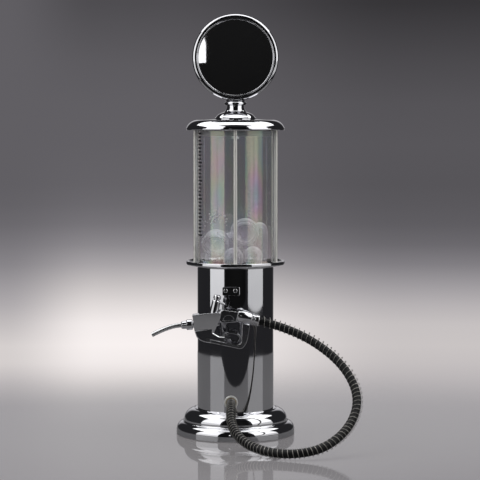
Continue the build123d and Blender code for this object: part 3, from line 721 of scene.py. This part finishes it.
def floor_material():
    """Pale and glossy. It fades into the backdrop with distance, and other surfaces see it duller."""
    material, tree, shader = node_material("pale_floor")
    vector = coordinates(tree)
    grain = noise_node(tree, vector, 60, 4)
    colour = ramp(tree, grain, ((0.2, (0.225, 0.222, 0.225)), (0.8, (0.24, 0.237, 0.24))))
    tree.links.new(colour, shader.inputs["Base Color"])
    tree.links.new(spread(tree, noise_node(tree, vector, 14), 0.03, 0.06), shader.inputs["Roughness"])
    shader.inputs["Specular IOR Level"].default_value = 0.5
    seen = tree.nodes.new("ShaderNodeLightPath").outputs["Is Camera Ray"]
    distance = tree.nodes.new("ShaderNodeVectorMath")
    distance.operation = "LENGTH"
    tree.links.new(vector, distance.inputs[0])
    fade = rise(tree, distance.outputs["Value"], FADE_START, FADE_END, FADE_LEAST)
    matt = tree.nodes.new("ShaderNodeBsdfDiffuse")
    tree.links.new(colour, matt.inputs["Color"])
    gloss = spread(tree, seen, FLOOR_DULL_GLOSS, 1)
    surface = mix_shaders(tree, gloss, matt.outputs["BSDF"], shader.outputs["BSDF"])
    show(tree, mix_shaders(tree, calculate(tree, "MULTIPLY", fade, seen), surface, transparent(tree)))
    return material


def make_floor():
    outline = floor_outline()
    floor = mesh_piece("floor", outline, [tuple(range(len(outline)))], smooth=False)
    floor.data.materials.append(floor_material())


CARD_PLACE = (0, -1.44, 1.2)
CARD_WIDTH, CARD_HEIGHT = 1.7, 2.4
CARD_COLOUR = (0.004, 0.004, 0.004, 1)


def make_dark_card():
    """A black card on the camera's side, seen only in reflections, as a studio would use."""
    bpy.ops.mesh.primitive_plane_add(size=1, location=CARD_PLACE)
    card = bpy.context.object
    card.name = "dark_card"
    card.scale = (CARD_WIDTH, CARD_HEIGHT, 1)
    card.rotation_euler = (math.pi / 2, 0, 0)
    material, _, shader = node_material("black_card")
    shader.inputs["Base Color"].default_value = CARD_COLOUR
    shader.inputs["Roughness"].default_value = 0.9
    card.data.materials.append(material)
    card.visible_camera = False
    card.visible_shadow = False
    card.visible_diffuse = False


# ---------------------------------------------------------------- backdrop
SKY_SPAN = 0.25
# greys of the backdrop against the upward part of the view direction, from far left to right: painted
# light, a bright band of studio light across the backdrop, strongest on the left
SKY_HEIGHTS = (
    -0.25, -0.191, -0.152, -0.140, -0.130, -0.121, -0.110, -0.0997, -0.0892, -0.0786, -0.068, -0.0574,
    -0.0469, -0.0363, -0.0152, 0.006, 0.027, 0.0586, 0.25,
)
FAR_LEFT_GREYS = (
    0.30, 0.32, 0.347, 0.497, 0.658, 0.665, 0.546, 0.429, 0.337, 0.246, 0.191, 0.147, 0.127, 0.119,
    0.119, 0.119, 0.119, 0.117, 0.05,
)
LEFT_GREYS = (
    0.30, 0.35, 0.479, 0.716, 0.888, 0.939, 0.905, 0.745, 0.565, 0.386, 0.258, 0.181, 0.147, 0.130,
    0.122, 0.119, 0.109, 0.078, 0.03,
)
RIGHT_GREYS = (
    0.26, 0.29, 0.376, 0.479, 0.552, 0.584, 0.565, 0.468, 0.342, 0.220, 0.147, 0.114, 0.102, 0.095,
    0.098, 0.091, 0.072, 0.038, 0.02,
)
ROOM_COLOUR = (0.022, 0.022, 0.024)
MIRRORED_COLOUR = (0.60, 0.59, 0.61)


def sky_stops(greys):
    """Stops of a ramp for a column of greys; the bright ones are a little warm, the dark ones cool."""
    stops = []
    for height, grey in zip(SKY_HEIGHTS, greys):
        warm = min(max((grey - 0.12) / 0.5, 0), 1)
        colour = (grey, grey * (0.955 - 0.015 * warm), grey * (1.05 - 0.12 * warm))
        stops.append(((height + SKY_SPAN) / (2 * SKY_SPAN), colour))
    return stops


def make_world():
    """The backdrop as the camera sees it, with the light falling on it painted in as a bright band.
    Reflections see it plainer, in a dark room.
    """
    world = bpy.data.worlds.new("studio")
    bpy.context.scene.world = world
    world.use_nodes = True
    tree = world.node_tree
    source = tree.nodes.new("ShaderNodeTexCoord")
    split = tree.nodes.new("ShaderNodeSeparateXYZ")
    tree.links.new(source.outputs["Generated"], split.inputs["Vector"])
    across, away, upward = (split.outputs[axis] for axis in "XYZ")
    height = tree.nodes.new("ShaderNodeMapRange")
    height.inputs["From Min"].default_value = -SKY_SPAN
    height.inputs["From Max"].default_value = SKY_SPAN
    tree.links.new(upward, height.inputs["Value"])
    far_left, left, right = (
        ramp(tree, height.outputs["Result"], sky_stops(greys))
        for greys in (FAR_LEFT_GREYS, LEFT_GREYS, RIGHT_GREYS)
    )
    sky = mix_colours(tree, rise(tree, across, -0.125, -0.075), far_left, left)
    sky = mix_colours(tree, rise(tree, across, -0.04, 0.085), sky, right)
    mirrored = mix_colours(tree, rise(tree, upward, 0.03, 0.10), sky, MIRRORED_COLOUR)
    room = mix_colours(tree, rise(tree, away, 0.90, 0.985), ROOM_COLOUR, mirrored)
    path = tree.nodes.new("ShaderNodeLightPath")
    direct = calculate(tree, "MAXIMUM", path.outputs["Is Camera Ray"], path.outputs["Is Transmission Ray"])
    tree.links.new(mix_colours(tree, direct, room, sky), tree.nodes["Background"].inputs["Color"])


# ---------------------------------------------------------------- lights
# each soft box is a low panel and a taller one above it: name, degrees right of the front, width,
# radiance of the low panel
SOFT_BOXES = (("left_soft_box", -57, 1.0, 0.95), ("right_soft_box", 63.5, 1.12, 0.72))
SOFT_BOX_REACH = 1.15
LOW_PANEL_HEIGHT, LOW_PANEL_CENTRE = 0.35, 0.205
UPPER_PANEL_HEIGHT, UPPER_PANEL_CENTRE, UPPER_RADIANCE = 1.97, 1.365, 1.5


def panel_light(name, place, aim, width, height, radiance):
    """A flat studio light, never seen directly."""
    data = bpy.data.lights.new(name, "AREA")
    data.shape = "RECTANGLE"
    data.size = width
    data.size_y = height
    data.energy = radiance * math.pi * width * height
    light = new_object(name, data)
    light.location = place
    light.rotation_euler = aimed_from(place, aim)
    light.visible_camera = False


def make_lights():
    for name, azimuth, width, low_radiance in SOFT_BOXES:
        angle = math.radians(azimuth)
        x, y = math.sin(angle) * SOFT_BOX_REACH, -math.cos(angle) * SOFT_BOX_REACH
        for suffix, centre, height, radiance in (
            ("", LOW_PANEL_CENTRE, LOW_PANEL_HEIGHT, low_radiance),
            ("_upper", UPPER_PANEL_CENTRE, UPPER_PANEL_HEIGHT, UPPER_RADIANCE),
        ):
            panel_light(name + suffix, (x, y, centre), (0, 0, centre), width, height, radiance)
    panel_light(
        "roof_light", place=(0, 0.42, 1.64), aim=(0, 0.4201, 0), width=3.0, height=1.5, radiance=2.0,
    )
    panel_light(
        "sign_strip", place=(-0.275, -1.38, 0.57), aim=(0, 0, 0.45), width=0.07, height=0.26, radiance=1.6,
    )


# ---------------------------------------------------------------- run
make_camera()
finishes = make_materials()
dress_nodes(finishes)
make_hose(finishes)
make_valve_spring(finishes)
make_scale_marks(finishes)
make_water_drops(finishes)
make_ice(finishes)
make_world()
make_floor()
make_dark_card()
make_lights()
bpy.context.scene.view_settings.view_transform = "Standard"
